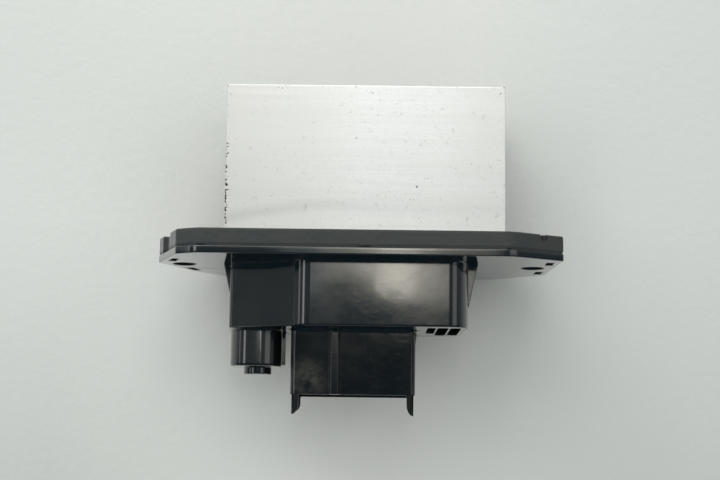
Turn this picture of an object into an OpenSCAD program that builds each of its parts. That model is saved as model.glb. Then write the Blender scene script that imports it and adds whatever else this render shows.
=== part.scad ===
// Blower motor resistor: a finned heat sink on a moulded flange, with the control
// board in the box below it and a four-way connector socket.
// Millimetres. The origin lies midway between the two screw holes, on the plate's upper
// face. +X runs along the flange, +Y to its back and +Z up through the fins.

/* [Flange plate] */
// Thickness of the moulded plate
plate_t = 1.9; // [1.6:0.1:2.6]
// Distance between the two screw holes
hole_spacing = 90; // [88:0.5:92]
// Diameter of a screw hole
hole_d = 6; // [4.5:0.1:6.4]
// Hole line to the front edge
plate_front = 22; // [21:0.5:24]
// Hole line to the back edge
plate_back = 24.5; // [23.5:0.5:27]
// Radius of the plate's front left corner
plate_corner_r = 7.5; // [3:0.5:8]
// Wall left outside the left screw hole, to the tip of the plate
left_tip_margin = 3.5; // [2.5:0.1:6]
// Wall left outside the right screw hole, to the tip of the plate
right_tip_margin = 3.3; // [2.5:0.1:6]
// Width of a small rectangular hole
key_hole_w = 1.8; // [1.2:0.1:2]
// Length of a small rectangular hole
key_hole_l = 5; // [4:0.5:6]

/* [Box] */
// Depth of the box below the plate
box_h = 16.6; // [15:0.1:19]
// Hole line to the foot of the box's front wall
box_front = 12; // [11:0.2:13]
// How far the front walls lean out from their foot up to the plate
front_draft = 0.4; // [0:0.1:1.2]
// Hole line to the box's back wall
box_back = 15.5; // [15:0.25:17]
// Hole midpoint to the box's left wall
box_left = 33; // [32.5:0.25:34]
// Hole midpoint to the box's right wall
box_right = 27.9; // [27:0.1:28.5]
// Thickness of the box's walls
wall = 1.6; // [1.2:0.1:1.8]
// Thickness of the box's floor
floor_t = 1.5; // [1.2:0.1:1.8]
// Outside radius of the two right corners
box_corner_r = 5.2; // [3:0.1:5.5]
// Outside radius of the front wall's left corner
step_corner_r = 5.6; // [2:0.1:5.8]
// Width of the slots in the floor
slot_w = 2.6; // [1.8:0.1:2.8]
// Length of the longest slot
slot_l = 21; // [12:0.5:21]
// Rib between two slots
slot_rib = 0.6; // [0.5:0.1:1.2]
// Radius of the slots' corners
slot_r = 0.8; // [0.3:0.1:0.9]
// Reach of the right gusset along the plate
right_gusset_w = 2.5; // [2:0.1:4]
// Height of the right gusset
right_gusset_h = 11.7; // [6:0.1:13]
// Reach of the left gusset along the plate
left_gusset_w = 1.7; // [1:0.1:3]
// Height of the left gusset
left_gusset_h = 8; // [5:0.5:12]
// Thickness of the gussets
gusset_t = 1.5; // [1:0.1:2]

/* [Capacitor pocket] */
// Side of the rounded square pocket
pocket_w = 13.4; // [12.8:0.1:13.6]
// Radius of the pocket's upright corners
pocket_r = 5.6; // [3:0.1:6]
// Fillet round the pocket's bottom edge
pocket_fillet = 0.7; // [0.4:0.1:1]
// Thickness of the pocket's floor
pocket_wall = 1.3; // [1:0.1:1.4]
// Diameter of the nub below the pocket
nub_d = 7.2; // [5:0.1:9]
// Height of the nub below the pocket
nub_h = 1.9; // [1:0.1:3]

/* [Connector] */
// Outside width of the socket
socket_w = 32; // [31:0.1:33]
// Outside depth of the socket, front to back
socket_d = 16; // [15:0.1:16]
// Length of the socket below the box
socket_h = 16.6; // [15:0.1:20]
// How far the socket's front and back lean in towards the mouth
socket_draft = 0.3; // [0:0.1:0.5]
// Wall of the socket
socket_wall = 1.5; // [1.2:0.1:1.8]
// Radius of the socket's upright edges
socket_r = 1.5; // [1:0.1:2]
// Width of the keying rib on the socket's front
key_rib_w = 2.6; // [2:0.1:4]
// Height of the keying rib
key_rib_h = 1.1; // [0.6:0.1:1.5]
// Width of a guide prong at the mouth
prong_w = 1.8; // [1.2:0.1:2]
// Length of a guide prong beyond the mouth
prong_h = 5.1; // [3:0.1:7]
// Width of a power blade
power_blade_w = 6.3; // [5:0.1:6.3]
// Width of a signal blade
signal_blade_w = 2.8; // [1.8:0.1:2.8]
// Thickness of every blade
blade_t = 0.8; // [0.6:0.1:1]
// Set-back of the blade tips from the socket's mouth
blade_recess = 4.5; // [4.3:0.1:6]

/* [Heat sink] */
// Length of the extrusion
sink_l = 70.3; // [68:0.1:72]
// Depth of the extrusion, front to back
sink_d = 33; // [32.6:0.1:34.5]
// Height of the extrusion
sink_h = 42.4; // [30:0.1:50]
// Thickness of the base under the fins
sink_base_t = 5; // [4.6:0.1:6]
// Number of fins on each side of the screw channel
fins_each_side = 4; // [2:1:4]
// Width of the screw channel at the middle
channel_w = 8.4; // [7:0.1:10]
// Thickness of a fin at its root
fin_root_t = 1.5; // [1.2:0.1:1.8]
// Thickness of a fin at its tip
fin_tip_t = 1.1; // [0.8:0.1:1.2]

/* [Gasket] */
// Thickness of the foam gasket
gasket_t = 4.4; // [3:0.1:4.5]
// Gap between the gasket and the heat sink
gasket_gap = 0.3; // [0.2:0.1:0.5]
// Diameter of the screw holes in the gasket
gasket_hole_d = 6.8; // [6.4:0.1:7.2]
// Depth of the notch at the left tip
notch_d = 1.2; // [0.5:0.1:1.4]
// Length of the notch at the left tip
notch_l = 7; // [4:0.5:9]
// Width of the torn nick at the right
nick_w = 1.3; // [0.8:0.1:2]
// Height of the torn nick
nick_h = 1.7; // [1:0.1:2.5]

/* [Circuit board] */
// Thickness of the board
board_t = 1.6; // [1:0.1:1.8]
// Height of the board's underside above the box's floor
board_rise = 4.6; // [3:0.1:5]
// Gap between the board and the box's walls
board_gap = 0.4; // [0.3:0.1:0.8]
// Diameter of the capacitor
cap_d = 10; // [8:0.1:10]
// Length of the capacitor, which sets the pocket's depth
cap_l = 12.9; // [11:0.1:16]
// Room between the capacitor and the pocket's floor
cap_clearance = 1.1; // [0.6:0.1:2]
// Length of the transistor's case
case_l = 9.2; // [8:0.1:9.6]
// Width of the transistor
case_w = 10; // [9:0.1:10.4]
// Thickness of the transistor with its tab
case_t = 4.4; // [4:0.1:4.8]
// Thickness of the insulating pad
pad_t = 0.3; // [0.2:0.1:0.6]

/* [Screws] */
// Thread diameter of the two heat sink screws
sink_screw_d = 3.5; // [3:0.1:3.8]
// Length of the heat sink screws under the head
sink_screw_l = 13; // [10:0.5:15]
// Thread diameter of the two board screws
board_screw_d = 2.5; // [2:0.1:2.8]
// Length of the board screws under the head
board_screw_l = 5; // [4:0.5:5.5]
// Thread diameter of the transistor's screw
tab_screw_d = 3; // [2.5:0.1:3.2]

/* [Hidden] */

$fn = 40;
corner_steps = 9;
overlap = 0.4;
fit_gap = 0.05;

black_plastic = [0.06, 0.065, 0.07];
foam = [0.23, 0.24, 0.23];
aluminium = [0.86, 0.86, 0.84];
zinc = [0.75, 0.75, 0.72];
tin = [0.8, 0.8, 0.78];
epoxy = [0.1, 0.1, 0.1];
copper = [0.72, 0.45, 0.3];

// Levels
plate_bottom = -plate_t;
box_bottom = plate_bottom - box_h;
floor_top = box_bottom + floor_t;
socket_bottom = box_bottom - socket_h;
board_bottom = floor_top + board_rise;
board_top = board_bottom + board_t;
cap_top = board_bottom - 0.3;
pocket_bottom = cap_top - cap_l - cap_clearance - pocket_wall;

// Plate: the corners of the outline, counter-clockwise from the front left
hole_x = hole_spacing / 2;
plate_left = hole_x + hole_d / 2 + left_tip_margin;
plate_right = hole_x + hole_d / 2 + right_tip_margin;
left_tip_y = -2;
right_tip_y = 7.5 - plate_front;
plate_points = [
    [6.3 - plate_left, 2.9 - plate_front],
    [11.3 - plate_left, -plate_front],
    [plate_right - 13.4, -plate_front],
    [plate_right, right_tip_y],
    [plate_right - 1.4, plate_back - 11.2],
    [plate_right - 14, plate_back],
    [15 - plate_left, plate_back],
    [7.5 - plate_left, plate_back - 10.2],
    [-plate_left, left_tip_y]
];
plate_radii = [1.5, plate_corner_r, 8.5, 0.8, 1.5, 5, 3, 4, 0.8];

// Small rectangular holes: place and turn of each
left_slope = atan2(6.3, plate_front - 2.9 + left_tip_y);
key_holes = [
    [[4.75 - plate_left, -7.7], left_slope],
    [[7.7 - plate_left, 9.8], -24],
    [[plate_right - 2.8, -8.5], 0],
    [[plate_right - 3.6, 9.1], 3]
];

// Box: its outline, counter-clockwise from the front left corner, with the front walls moved
// forward by lean
step_depth = 1.7;
step_slant = 2.3;
front_left_x = -13.8;
shoulder_y = 9.4 - box_front;
function box_points(lean) = [
    [front_left_x, -box_front - lean],
    [box_right, -box_front - lean],
    [box_right, box_back],
    [-box_left, box_back],
    [-box_left, shoulder_y - lean],
    [front_left_x - step_slant, step_depth - box_front - lean]
];
box_radii = [step_corner_r, box_corner_r, box_corner_r, 2, 1.4, 0.4];
inner_corner_r = 1;
inner_radii = [inner_corner_r, inner_corner_r, inner_corner_r, 0.6, 0.6, 2];

// Floor slots, from the socket's side to the right wall
slot_front = -8.4;
slot_right = box_right - wall - 0.1;
slot_lengths = [0.75 * slot_l, slot_l, 0.96 * slot_l];
slot_widths = [0.75 * slot_w, slot_w, slot_w];
slot_pitch = slot_w + slot_rib;

// Gasket: the notch and the nick, by their distance from the tips of the plate
notch_setback = 4.6;
nick_setback = 6.3;
nick_d = 1;
right_chamfer = plate_points[3] - plate_points[2];
right_slope = atan2(right_chamfer[1], right_chamfer[0]);

// Capacitor pocket
pocket_x = -box_left + pocket_w / 2;
pocket_bore_d = cap_d + 0.5;
pocket_y = 5.8;
web_t = 2.4;
web_reach = 0.7;
web_rise = 0.9;

// Connector
socket_x = -1.1;
socket_front = -1.2;
socket_back = socket_front + socket_d;
socket_y = (socket_front + socket_back) / 2;
socket_left = socket_x - socket_w / 2;
socket_right = socket_x + socket_w / 2;
key_rib_x = socket_left + 11.3;
key_rib_r = 0.7;
prong_inset = 0.4;
prong_t = socket_wall - prong_inset;
prong_straight = 0.45;
wedge_w = 0.6;
wedge_h = 5.5;
wedge_t = 1.2;
supply_x = socket_x - 9.4;
signal_x = socket_x - 2.4;
ground_x = socket_x + 2.6;
motor_x = socket_x + 9.4;
blade_y = socket_y;
blade_tip = socket_bottom + blade_recess;
blade_foot = board_top + 1;
blade_shoulder_w = 0.6;
blade_shoulder_t = 1.4;
blade_slot_gap = 0.1;
blades = [
    [supply_x, power_blade_w], [signal_x, signal_blade_w],
    [ground_x, signal_blade_w], [motor_x, power_blade_w]
];

// Heat sink
sink_x = 1.45;
sink_y = (plate_back - plate_front) / 2 - 0.25;
sink_left = sink_x - sink_l / 2;
sink_front = sink_y - sink_d / 2;
fin_pitch = (sink_d / 2 - channel_w / 2 - fin_root_t) / (fins_each_side - 1);
root_fillet = 0.4;

// Heat sink screws, standing in the channel on posts of the housing
post_d = 6.4;
post_x = [-16.5, 13.5];
post_y = sink_y;
pilot_gap = 0.1;
sink_head_d = sink_screw_d * 1.7;
sink_head_h = 2.3;
sink_pilot_l = sink_screw_l - sink_base_t + 1;
sink_pass_d = sink_screw_d + 0.5;

// Board screws on standoffs
standoff_d = 5;
standoffs = [[-8.5, 4.4 + wall - box_front], [9.5, 11]];
rest_pads = [
    [box_right - wall - 8, box_back - wall - 0.6],
    [-box_left + wall + 1, box_back - wall - 0.6]
];
board_head_d = board_screw_d * 1.9;
board_head_h = 1.8;
board_pass_d = board_screw_d + 0.4;
post_hole_d = post_d + 1;

// Transistor, lying under the heat sink's base
tab_x = -1.4;
tab_t = 1.3;
tab_l = 15.6;
tab_back = 13;
tab_front = tab_back - tab_l;
tab_top = -pad_t;
tab_hole_y = tab_back - 2.8;
tab_hole_d = 3.8;
case_bottom = tab_top - case_t;
lead_w = 0.8;
lead_t = 0.5;
lead_pitch = 2.54;
lead_top = tab_top - tab_t - 1;
lead_reach = 2.6;
lead_hole_gap = 0.15;
washer_t = 0.8;
tab_head_h = 2;
tab_head_d = 5.4;
tab_thread_l = sink_base_t - 1.2;

// Capacitor, hanging from the board into the pocket
bung_h = 1.4;
bung_d = cap_d - 0.9;
cap_lead_d = 0.6;
cap_lead_pitch = 5;

// Small parts on the board
chip_x = 21;
chip_y = 6;
chip_size = [3.9, 4.9, 1.5];
chip_rise = 0.2;
chip_draft = 0.15;
chip_pitch = 1.27;
diode_x = -22.5;
diode_y = 10.9;
diode_size = [5, 4.4, 2.2];
diode_rise = 0.1;
shunt_x = 20.5;
shunt_y = -3.4;
shunt_span = 7;
shunt_w = 3;
shunt_t = 0.6;
shunt_h = 2.6;
resistor_size = [2, 1.25, 0.5];
resistor_pitch = 1.9;
ceramic_size = [2, 1.25, 1];
ceramic_pitch = 2.4;
row_setback = 5;
solder_h = 0.8;
solder_spread = 0.7;

// Helpers for the outlines
function unit(v) = v / norm(v);
function inward(a, b) = let (d = unit(b - a)) [-d[1], d[0]];

// One corner of an outline as an arc of radius r
function arc_corner(a, b, c, r) =
    let (
        u = unit(a - b),
        v = unit(c - b),
        half = acos(u * v) / 2,
        centre = b + unit(u + v) * r / sin(half),
        from = b + u * r / tan(half) - centre,
        to = b + v * r / tan(half) - centre,
        start = atan2(from[1], from[0]),
        turn = atan2(to[1], to[0]) - start,
        sweep = turn > 180 ? turn - 360 : turn < -180 ? turn + 360 : turn
    )
    [for (i = [0:corner_steps])
        centre + r * [cos(start + sweep * i / corner_steps), sin(start + sweep * i / corner_steps)]];

// A closed outline with every corner rounded by its own radius
function rounded(p, r) =
    [for (i = [0:len(p) - 1])
        each arc_corner(p[(i + len(p) - 1) % len(p)], p[i], p[(i + 1) % len(p)], r[i])];

// The same outline moved inwards by w
function inset(p, w) =
    [for (i = [0:len(p) - 1])
        let (
            n1 = inward(p[(i + len(p) - 1) % len(p)], p[i]),
            n2 = inward(p[i], p[(i + 1) % len(p)])
        )
        p[i] + w * (n1 + n2) / (1 + n1 * n2)];

function rect_points(w, d) = [[-w / 2, -d / 2], [w / 2, -d / 2], [w / 2, d / 2], [-w / 2, d / 2]];

module rounded_rect(w, d, r) {
    polygon(rounded(rect_points(w, d), [r, r, r, r]));
}

module slab(z0, z1) {
    translate([0, 0, z0]) linear_extrude(z1 - z0) children();
}

module disc(x, y, z0, z1, d) {
    translate([x, y, z0]) cylinder(h = z1 - z0, d = d);
}

module block(x0, x1, y0, y1, z0, z1) {
    translate([x0, y0, z0]) cube([x1 - x0, y1 - y0, z1 - z0]);
}

// Housing

// A solid between two outlines that have the same number of points
module loft(lower, upper, z0, z1) {
    n = len(lower);
    polyhedron(
        points = [for (p = lower) [p[0], p[1], z0], for (p = upper) [p[0], p[1], z1]],
        faces = [
            [for (i = [0:n - 1]) i],
            [for (i = [n - 1:-1:0]) n + i],
            for (i = [0:n - 1]) [i, n + i, n + (i + 1) % n, (i + 1) % n]
        ]);
}

// The box's outside, whose front walls lean out towards the plate
module box_body() {
    top = plate_bottom + overlap;
    lean = front_draft * (top - box_bottom) / box_h;
    loft(rounded(box_points(0), box_radii), rounded(box_points(lean), box_radii), box_bottom, top);
}

module box_inside() {
    polygon(rounded(inset(box_points(0), wall), inner_radii));
}

// A triangular gusset under the plate, with its upright edge on the box's wall
module gusset(x, y, reach, height, side) {
    root = wall;
    translate([x, y + gusset_t, plate_bottom + overlap / 2])
        rotate([90, 0, 0])
            linear_extrude(gusset_t)
                polygon([
                    [-side * root, 0], [side * reach, 0],
                    [side * reach, -overlap], [0, -height], [-side * root, -height]
                ]);
}

// Pocket for the capacitor: a rounded square that ends in a fillet, with a nub below it
module pocket_body() {
    translate([pocket_x, pocket_y, 0]) {
        slab(pocket_bottom + pocket_fillet, box_bottom + overlap)
            rounded_rect(pocket_w, pocket_w, pocket_r);
        hull()
            for (a = [0:22.5:90])
                translate([0, 0, pocket_bottom + pocket_fillet * (1 - sin(a))])
                    linear_extrude(0.01)
                        rounded_rect(
                            pocket_w - 2 * pocket_fillet * (1 - cos(a)),
                            pocket_w - 2 * pocket_fillet * (1 - cos(a)),
                            pocket_r - pocket_fillet * (1 - cos(a)));
    }
    disc(pocket_x + 0.4, pocket_y, pocket_bottom - nub_h, pocket_bottom + overlap, nub_d);
}

// Thin web between the pocket and the socket's side, behind the pocket
module pocket_web() {
    y = pocket_y + pocket_w / 2 - web_t - 1;
    block(pocket_x, pocket_x + pocket_w / 2 + web_reach, y, y + web_t,
        pocket_bottom + web_rise, box_bottom + overlap);
}

// A guide prong with a straight outer edge and a curved inner edge
module prong(x, y, side, length) {
    bend = length * prong_straight;
    points = [
        [0, overlap], [0, -length],
        for (a = [80:-20:0]) [prong_w * cos(a), -bend - (length - bend) * sin(a)],
        [prong_w, overlap]
    ];
    translate([x, y + prong_t, socket_bottom])
        rotate([90, 0, 0])
            linear_extrude(prong_t)
                polygon([for (p = points) [side * p[0], p[1]]]);
}

function socket_outline(lean) = [
    for (p = rounded(rect_points(socket_w, socket_d - 2 * lean),
        [socket_r, socket_r, socket_r, socket_r]))
        p + [socket_x, socket_y]
];

module socket_body() {
    loft(socket_outline(socket_draft), socket_outline(0), socket_bottom, box_bottom + overlap);
    translate([key_rib_x, socket_front, 0])
        slab(socket_bottom, box_bottom + overlap)
            rounded_rect(key_rib_w, 2 * key_rib_h, key_rib_r);
    // small wedge at the root of the right wall
    translate([socket_right, socket_y + 2 + wedge_t, box_bottom + overlap / 2])
        rotate([90, 0, 0])
            linear_extrude(wedge_t)
                polygon([[-overlap, 0], [wedge_w, 0], [wedge_w, -1], [0, -wedge_h], [-overlap, -wedge_h]]);
}

module prongs() {
    front = socket_front + prong_inset;
    back = socket_back - prong_inset - prong_t;
    intersection() {
        union() {
            prong(socket_left + prong_inset, front, 1, prong_h);
            prong(socket_right - prong_inset, front, -1, prong_h + 0.2);
            prong(socket_left + prong_inset, back, 1, prong_h - 1.1);
        }
        slab(socket_bottom - 2 * prong_h, box_bottom) polygon(socket_outline(socket_draft));
    }
}

// Everything that stands up inside the box: screw posts, standoffs and rest pads
module inside_posts() {
    for (x = post_x)
        difference() {
            disc(x, post_y, floor_top - overlap, 0, post_d);
            disc(x, post_y, -sink_pilot_l, 1, sink_screw_d + pilot_gap);
        }
    for (p = standoffs)
        difference() {
            disc(p[0], p[1], floor_top - overlap, board_bottom, standoff_d);
            disc(p[0], p[1], floor_top, board_bottom + 1, board_screw_d + pilot_gap);
        }
    for (p = rest_pads)
        block(p[0] - 1.3, p[0] + 1.3, p[1] - 0.7, p[1] + 1, floor_top - overlap, board_bottom);
}

module housing() {
    color(black_plastic) {
        difference() {
            union() {
                slab(plate_bottom, 0) polygon(rounded(plate_points, plate_radii));
                box_body();
                gusset(box_right, 4.4 - box_front, right_gusset_w, right_gusset_h, 1);
                gusset(-box_left, shoulder_y + 0.8, left_gusset_w, left_gusset_h, -1);
                pocket_body();
                pocket_web();
                socket_body();
            }
            // inside of the box, open at the top under the heat sink
            slab(floor_top, 1) box_inside();
            // inside of the pocket
            disc(pocket_x, pocket_y, pocket_bottom + pocket_wall, floor_top + overlap, pocket_bore_d);
            // inside of the socket
            translate([socket_x, socket_y, 0])
                slab(socket_bottom - 1, box_bottom)
                    rounded_rect(socket_w - 2 * socket_wall, socket_d - 2 * socket_wall, 0.6);
            // slits that the blades pass through
            for (b = blades)
                block(b[0] - b[1] / 2 - blade_slot_gap, b[0] + b[1] / 2 + blade_slot_gap,
                    blade_y - blade_t / 2 - blade_slot_gap, blade_y + blade_t / 2 + blade_slot_gap,
                    box_bottom - 1, floor_top + 1);
            // slots in the floor
            for (i = [0:2])
                translate([
                    slot_right - (2 - i) * slot_pitch - slot_widths[i] / 2,
                    slot_front + slot_lengths[i] / 2, 0
                ])
                    slab(box_bottom - 1, floor_top + 1)
                        rounded_rect(slot_widths[i], slot_lengths[i], slot_r);
            // screw holes and the small rectangular holes of the plate
            for (x = [-hole_x, hole_x])
                disc(x, 0, plate_bottom - 1, 1, hole_d);
            for (k = key_holes)
                translate([k[0][0], k[0][1], 0])
                    rotate(k[1])
                        slab(plate_bottom - 1, 1) square([key_hole_w, key_hole_l], center = true);
        }
        prongs();
        inside_posts();
    }
}

// Gasket

module gasket_outline() {
    difference() {
        polygon(rounded(plate_points, plate_radii));
        // notch in the left end, just in front of the tip
        translate([-plate_left, left_tip_y])
            rotate(left_slope)
                translate([-1, -notch_l - notch_setback])
                    square([1 + notch_d, notch_l]);
    }
}

module gasket() {
    color(foam)
        difference() {
            slab(0, gasket_t) gasket_outline();
            translate([sink_x, sink_y, 0])
                slab(-1, gasket_t + 1)
                    square([sink_l + 2 * gasket_gap, sink_d + 2 * gasket_gap], center = true);
            for (x = [-hole_x, hole_x])
                disc(x, 0, -1, gasket_t + 1, gasket_hole_d);
            // torn nick in the chamfered edge at the right
            translate([plate_right, right_tip_y, gasket_t])
                rotate([0, 0, right_slope])
                    translate([-nick_setback, nick_d, 0])
                        rotate([90, 0, 0])
                            linear_extrude(4 * nick_d)
                                polygon([
                                    [-nick_w * 0.55, 0.2], [-nick_w * 0.3, -nick_h],
                                    [nick_w * 0.25, -nick_h * 0.9], [nick_w / 2, -nick_h * 0.4],
                                    [nick_w * 0.8, 0.2]
                                ]);
        }
}

// Heat sink

// Section across the extrusion, with y along the polygon's first axis and z along its second
module sink_section() {
    square([sink_d, sink_base_t]);
    for (side = [0, 1], i = [0:fins_each_side - 1]) {
        y = side == 0 ? i * fin_pitch : sink_d - fin_root_t - i * fin_pitch;
        outer = i == 0;
        lean = (fin_root_t - fin_tip_t) / 2;
        left = outer && side == 0 ? 0 : lean;
        right = outer && side == 1 ? 0 : lean;
        z0 = sink_base_t;
        polygon([
            [y - (outer && side == 0 ? 0 : root_fillet), z0 - 0.5],
            [y + fin_root_t + (outer && side == 1 ? 0 : root_fillet), z0 - 0.5],
            [y + fin_root_t + (outer && side == 1 ? 0 : root_fillet), z0],
            [y + fin_root_t, z0 + root_fillet],
            [y + fin_root_t - right, sink_h - 0.25],
            [y + fin_root_t - right - 0.25, sink_h],
            [y + left + 0.25, sink_h],
            [y + left, sink_h - 0.25],
            [y, z0 + root_fillet],
            [y - (outer && side == 0 ? 0 : root_fillet), z0]
        ]);
    }
}

module heat_sink() {
    color(aluminium)
        difference() {
            translate([sink_left, sink_front, 0])
                rotate([90, 0, 90])
                    linear_extrude(sink_l) sink_section();
            for (x = post_x)
                disc(x, post_y, -1, sink_base_t + 1, sink_pass_d);
            disc(tab_x, tab_hole_y, -1, tab_thread_l, tab_screw_d + pilot_gap);
        }
}

// Fasteners: a pan head with a cross recess on a plain shank with a pointed or flat end

module pan_screw(d, length, head_d, head_h) {
    recess = head_h * 0.55;
    difference() {
        union() {
            rotate_extrude()
                polygon([
                    [0, 0], [head_d / 2, 0], [head_d / 2, head_h * 0.45],
                    [head_d * 0.42, head_h * 0.8], [head_d * 0.28, head_h], [0, head_h]
                ]);
            rotate_extrude()
                polygon([
                    [0, -length], [d * 0.3, -length], [d / 2, -length + d * 0.4], [d / 2, 0.1], [0, 0.1]
                ]);
        }
        for (a = [0, 90])
            rotate(a)
                translate([-head_d * 0.27, -head_d * 0.06, head_h - recess])
                    cube([head_d * 0.54, head_d * 0.12, recess + 1]);
    }
}

module heat_sink_screws() {
    color(zinc)
        for (x = post_x)
            translate([x, post_y, sink_base_t])
                pan_screw(sink_screw_d, sink_screw_l, sink_head_d, sink_head_h);
}

module board_screws() {
    color(zinc)
        for (p = standoffs)
            translate([p[0], p[1], board_top])
                pan_screw(board_screw_d, board_screw_l, board_head_d, board_head_h);
}

// Transistor

module insulating_pad() {
    color([0.75, 0.72, 0.66])
        difference() {
            block(tab_x - case_w / 2 - 1, tab_x + case_w / 2 + 1, tab_front - 0.6, tab_back + 0.6, -pad_t, 0);
            disc(tab_x, tab_hole_y, -pad_t - 1, 1, tab_hole_d);
        }
}

module transistor_tab() {
    color(copper)
        difference() {
            block(tab_x - case_w / 2, tab_x + case_w / 2, tab_front, tab_back, tab_top - tab_t, tab_top);
            disc(tab_x, tab_hole_y, tab_top - tab_t - 1, tab_top + 1, tab_hole_d);
            // corner cuts at the tab's free end
            for (s = [-1, 1])
                translate([tab_x + s * case_w / 2, tab_back, 0])
                    rotate(45)
                        cube([2, 2, 2 * case_t], center = true);
        }
}

module transistor_case() {
    color(epoxy)
        translate([tab_x, tab_front, 0])
            rotate([90, 0, 90])
                translate([0, 0, -case_w / 2])
                    linear_extrude(case_w)
                        polygon([
                            [0.2, case_bottom], [case_l - 0.4, case_bottom],
                            [case_l, tab_top - tab_t], [0, tab_top - tab_t], [0, lead_top - 0.6]
                        ]);
}

module transistor_leads() {
    end = board_bottom - 0.9;
    color(tin)
        for (i = [-1:1])
            translate([tab_x + i * lead_pitch - lead_w / 2, 0, 0]) {
                block(0, lead_w, tab_front - lead_reach, tab_front, lead_top - lead_t, lead_top);
                block(0, lead_w, tab_front - lead_reach, tab_front - lead_reach + lead_t, end, lead_top);
            }
}

module transistor_washer() {
    color(zinc)
        difference() {
            disc(tab_x, tab_hole_y, tab_top - tab_t - washer_t, tab_top - tab_t, tab_head_d + 0.4);
            disc(tab_x, tab_hole_y, tab_top - tab_t - washer_t - 1, 1, tab_screw_d + 0.3);
        }
}

module transistor_screw() {
    seat = tab_top - tab_t - washer_t;
    color(zinc)
        translate([tab_x, tab_hole_y, seat])
            rotate([180, 0, 0])
                pan_screw(tab_screw_d, tab_thread_l - seat - 0.4, tab_head_d, tab_head_h);
}

// Board and what stands on it

module circuit_board() {
    color([0.1, 0.35, 0.2])
        difference() {
            slab(board_bottom, board_top)
                polygon(rounded(inset(box_points(0), wall + board_gap), inner_radii));
            for (x = post_x)
                disc(x, post_y, board_bottom - 1, board_top + 1, post_hole_d);
            for (p = standoffs)
                disc(p[0], p[1], board_bottom - 1, board_top + 1, board_pass_d);
            for (b = blades)
                block(b[0] - foot_w(b[1]) / 2 - blade_slot_gap, b[0] + foot_w(b[1]) / 2 + blade_slot_gap,
                    blade_y - blade_t / 2 - blade_slot_gap, blade_y + blade_t / 2 + blade_slot_gap,
                    board_bottom - 1, board_top + 1);
            for (i = [-1:1])
                block(tab_x + i * lead_pitch - lead_w / 2 - lead_hole_gap,
                    tab_x + i * lead_pitch + lead_w / 2 + lead_hole_gap,
                    tab_front - lead_reach - lead_hole_gap,
                    tab_front - lead_reach + lead_t + lead_hole_gap, board_bottom - 1, board_top + 1);
            for (s = [-1, 1])
                disc(pocket_x + s * cap_lead_pitch / 2, pocket_y, board_bottom - 1, board_top + 1,
                    cap_lead_d + 2 * lead_hole_gap);
        }
}

// Width of a blade's foot, which is narrower than the blade and passes through the board
function foot_w(w) = w * 0.55;

// A flat blade with a bevelled tip, a stop shoulder on the box's floor and a foot in the board
module blade(x, w) {
    bevel = 0.9;
    foot = foot_w(w) / 2;
    color(tin) {
        translate([x, blade_y + blade_t / 2, 0])
            rotate([90, 0, 0])
                linear_extrude(blade_t)
                    polygon([
                        [-w / 2 + bevel, blade_tip], [w / 2 - bevel, blade_tip],
                        [w / 2, blade_tip + bevel * 1.6], [w / 2, floor_top],
                        [w / 2 + blade_shoulder_w, floor_top],
                        [w / 2 + blade_shoulder_w, floor_top + blade_shoulder_t],
                        [foot, floor_top + blade_shoulder_t],
                        [foot, blade_foot], [-foot, blade_foot], [-foot, floor_top + blade_shoulder_t],
                        [-w / 2 - blade_shoulder_w, floor_top + blade_shoulder_t],
                        [-w / 2 - blade_shoulder_w, floor_top],
                        [-w / 2, floor_top], [-w / 2, blade_tip + bevel * 1.6]
                    ]);
    }
}

module terminal_supply() {
    blade(supply_x, power_blade_w);
}

module terminal_signal() {
    blade(signal_x, signal_blade_w);
}

module terminal_ground() {
    blade(ground_x, signal_blade_w);
}

module terminal_motor() {
    blade(motor_x, power_blade_w);
}

module capacitor_can() {
    r = cap_d / 2;
    color([0.15, 0.2, 0.4])
        translate([pocket_x, pocket_y, cap_top - cap_l])
            rotate_extrude()
                polygon([
                    [0, 0], [r - 0.6, 0], [r - 0.15, 0.2], [r, 0.7],
                    [r, cap_l - 2.6], [r - 0.4, cap_l - 2.2], [r - 0.4, cap_l - 1.8], [r, cap_l - 1.4],
                    [r, cap_l - 0.2], [r - 0.2, cap_l],
                    [bung_d / 2, cap_l], [bung_d / 2, cap_l - bung_h], [0, cap_l - bung_h]
                ]);
}

module capacitor_bung() {
    color(epoxy)
        disc(pocket_x, pocket_y, cap_top - bung_h, cap_top + 0.2, bung_d - 2 * fit_gap);
}

module capacitor_leads() {
    color(tin)
        for (s = [-1, 1])
            disc(pocket_x + s * cap_lead_pitch / 2, pocket_y, cap_top + 0.2, board_top + 1.2, cap_lead_d);
}

// A strip of resistance alloy bent into a bridge, with its two feet on the board
module shunt_resistor() {
    h = shunt_span / 2;
    color(copper)
        translate([shunt_x, shunt_y + shunt_w / 2, board_top])
            rotate([90, 0, 0])
                linear_extrude(shunt_w)
                    polygon([
                        [-h, 0], [1.6 - h, 0], [1.6 - h + shunt_t / 2, shunt_h - shunt_t],
                        [h - 1.6 - shunt_t / 2, shunt_h - shunt_t], [h - 1.6, 0], [h, 0], [h, shunt_t],
                        [h - 1.6 + shunt_t / 2, shunt_t], [h - 1.6 + shunt_t / 4, shunt_h],
                        [1.6 - h - shunt_t / 4, shunt_h], [1.6 - h - shunt_t / 2, shunt_t], [-h, shunt_t]
                    ]);
}

module control_chip() {
    color(epoxy)
        translate([chip_x, chip_y, board_top + chip_rise + chip_size[2] / 2])
            rotate([90, 0, 0])
                linear_extrude(chip_size[1], center = true)
                    square([chip_size[0] - 2 * chip_draft, chip_size[2]], center = true);
}

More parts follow.
